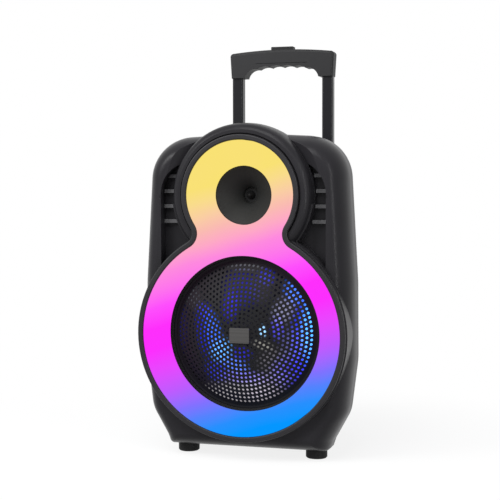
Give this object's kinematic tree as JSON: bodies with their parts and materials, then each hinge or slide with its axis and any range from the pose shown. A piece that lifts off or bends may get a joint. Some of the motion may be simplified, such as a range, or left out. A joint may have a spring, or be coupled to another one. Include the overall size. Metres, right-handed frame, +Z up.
{
  "type": "party speaker",
  "caption": "Upright trolley party speaker with a lit figure-of-eight front, domed woofer grille, horn tweeter, telescopic pull handle, rear wheels and control panel.",
  "frame": {"origin": "on the floor, under the middle of the cabinet's bounding box", "axes": "+Z up, front faces -Y, +X to the right seen from the front"},
  "size_m": [0.3888, 0.34, 0.768],
  "materials": {
    "shell": "satin moulded plastic",
    "bezel": "satin moulded plastic",
    "diffuser": "milky light diffuser, lit in colours",
    "circuit_board": "laminate",
    "lamp": "lamp body",
    "trim": "fine matt",
    "rib": "satin moulded plastic",
    "grille": "powder coat",
    "badge": "brushed, dark",
    "pressed_steel": "black paint",
    "soft_rubber": "matt",
    "cone": "pressed paper cone",
    "copper_wire": "lacquered wire",
    "spider_cloth": "corrugated cloth",
    "ferrite": "sintered ferrite",
    "plated_steel": "zinc plated",
    "screw_steel": "blackened",
    "horn": "smooth",
    "foot_rubber": "matt",
    "hub": "satin",
    "tyre": "matt",
    "tube": "semi-gloss black lacquer",
    "grip": "satin moulded plastic",
    "button": "satin",
    "panel": "fine matt",
    "window": "smoked window",
    "socket": "matt",
    "rocker": "smooth",
    "alloy": "bead blasted",
    "battery": "case",
    "knob": "satin",
    "key": "matt"
  },
  "bodies": {
    "cabinet": {"front_shell": "shell", "rear_shell": "shell", "light_bezel": "bezel", "light_diffuser": "diffuser", "led_board": "circuit_board", "leds": "lamp", "woofer_trim_ring": "trim", "vent_ribs": "rib", "woofer_grille": "grille", "grille_badge": "badge", "woofer_basket": "pressed_steel", "woofer_surround": "soft_rubber", "woofer_spider": "spider_cloth", "woofer_magnet": "ferrite", "magnet_plates": "plated_steel", "woofer_screws": "screw_steel", "tweeter_horn": "horn", "tweeter_dome": "trim", "tweeter_magnet": "ferrite", "front_feet": "foot_rubber", "foot_screws": "screw_steel", "wheel_axle": "plated_steel", "handle_sleeves": "plated_steel", "sleeve_collars": "trim", "control_panel": "panel", "display_window": "window", "mic_jacks": "socket", "aux_jack": "socket", "dc_inlet": "socket", "usb_socket": "plated_steel", "rocker_frame": "trim", "amplifier_board": "circuit_board", "heatsink": "alloy", "board_screws": "screw_steel", "battery_pack": "battery", "battery_strap": "plated_steel", "bass_port": "trim", "shell_screws": "screw_steel"},
    "middle_stage": {"middle_tubes": "tube"},
    "inner_stage": {"inner_tubes": "tube", "grip_front": "grip", "grip_rear": "grip", "button_spring": "screw_steel"},
    "grip_button": {"grip_button": "button", "lock_rods": "plated_steel"},
    "woofer_cone": {"woofer_cone": "cone", "dust_cap": "cone", "voice_coil": "copper_wire"},
    "wheel_left": {"wheel_hub_left": "hub", "wheel_tyre_left": "tyre"},
    "wheel_right": {"wheel_hub_right": "hub", "wheel_tyre_right": "tyre"},
    "power_rocker": {"power_rocker": "rocker"},
    "knob_echo": {"knob_echo": "knob"},
    "knob_volume": {"knob_volume": "knob"},
    "knob_bass": {"knob_bass": "knob"},
    "key_mode": {"key_mode": "key"},
    "key_back": {"key_back": "key"},
    "key_play": {"key_play": "key"},
    "key_next": {"key_next": "key"}
  },
  "joints": [
    {"name": "middle_stage_slide", "type": "slide", "parent": "cabinet", "child": "middle_stage", "axis": [0, 0, 1], "range_m": [0, 0.16]},
    {"name": "inner_stage_slide", "type": "slide", "parent": "middle_stage", "child": "inner_stage", "axis": [0, 0, 1], "range_m": [-0.134, 0.14]},
    {"name": "grip_button_press", "type": "slide", "parent": "inner_stage", "child": "grip_button", "axis": [0, 0, -1], "range_m": [0, 0.003], "stiffness_N_per_m": 2500, "springref_m": -0.002, "deforming": ["button_spring"]},
    {"name": "woofer_cone_travel", "type": "slide", "parent": "cabinet", "child": "woofer_cone", "axis": [0, -1, 0], "range_m": [-0.004, 0.004], "stiffness_N_per_m": 3000, "deforming": ["woofer_surround", "woofer_spider"]},
    {"name": "power_rocker_tilt", "type": "hinge", "parent": "cabinet", "child": "power_rocker", "pos_m": [0.05, 0.155, 0.414], "axis": [0, 0, 1], "range_deg": [-16, 0]},
    {"name": "wheel_left_spin", "type": "hinge", "parent": "cabinet", "child": "wheel_left", "pos_m": [-0.095, 0.129, 0.038], "axis": [1, 0, 0], "continuous": true},
    {"name": "wheel_right_spin", "type": "hinge", "parent": "cabinet", "child": "wheel_right", "pos_m": [0.095, 0.129, 0.038], "axis": [1, 0, 0], "continuous": true},
    {"name": "knob_echo_turn", "type": "hinge", "parent": "cabinet", "child": "knob_echo", "pos_m": [-0.045, 0.16, 0.468], "axis": [0, 1, 0], "range_deg": [-140, 140]},
    {"name": "knob_volume_turn", "type": "hinge", "parent": "cabinet", "child": "knob_volume", "pos_m": [0, 0.16, 0.468], "axis": [0, 1, 0], "range_deg": [-140, 140]},
    {"name": "knob_bass_turn", "type": "hinge", "parent": "cabinet", "child": "knob_bass", "pos_m": [0.045, 0.16, 0.468], "axis": [0, 1, 0], "range_deg": [-140, 140]},
    {"name": "key_mode_press", "type": "slide", "parent": "cabinet", "child": "key_mode", "axis": [0, -1, 0], "range_m": [0, 0.0012], "stiffness_N_per_m": 400, "springref_m": -0.0008},
    {"name": "key_back_press", "type": "slide", "parent": "cabinet", "child": "key_back", "axis": [0, -1, 0], "range_m": [0, 0.0012], "stiffness_N_per_m": 400, "springref_m": -0.0008},
    {"name": "key_play_press", "type": "slide", "parent": "cabinet", "child": "key_play", "axis": [0, -1, 0], "range_m": [0, 0.0012], "stiffness_N_per_m": 400, "springref_m": -0.0008},
    {"name": "key_next_press", "type": "slide", "parent": "cabinet", "child": "key_next", "axis": [0, -1, 0], "range_m": [0, 0.0012], "stiffness_N_per_m": 400, "springref_m": -0.0008}
  ]
}
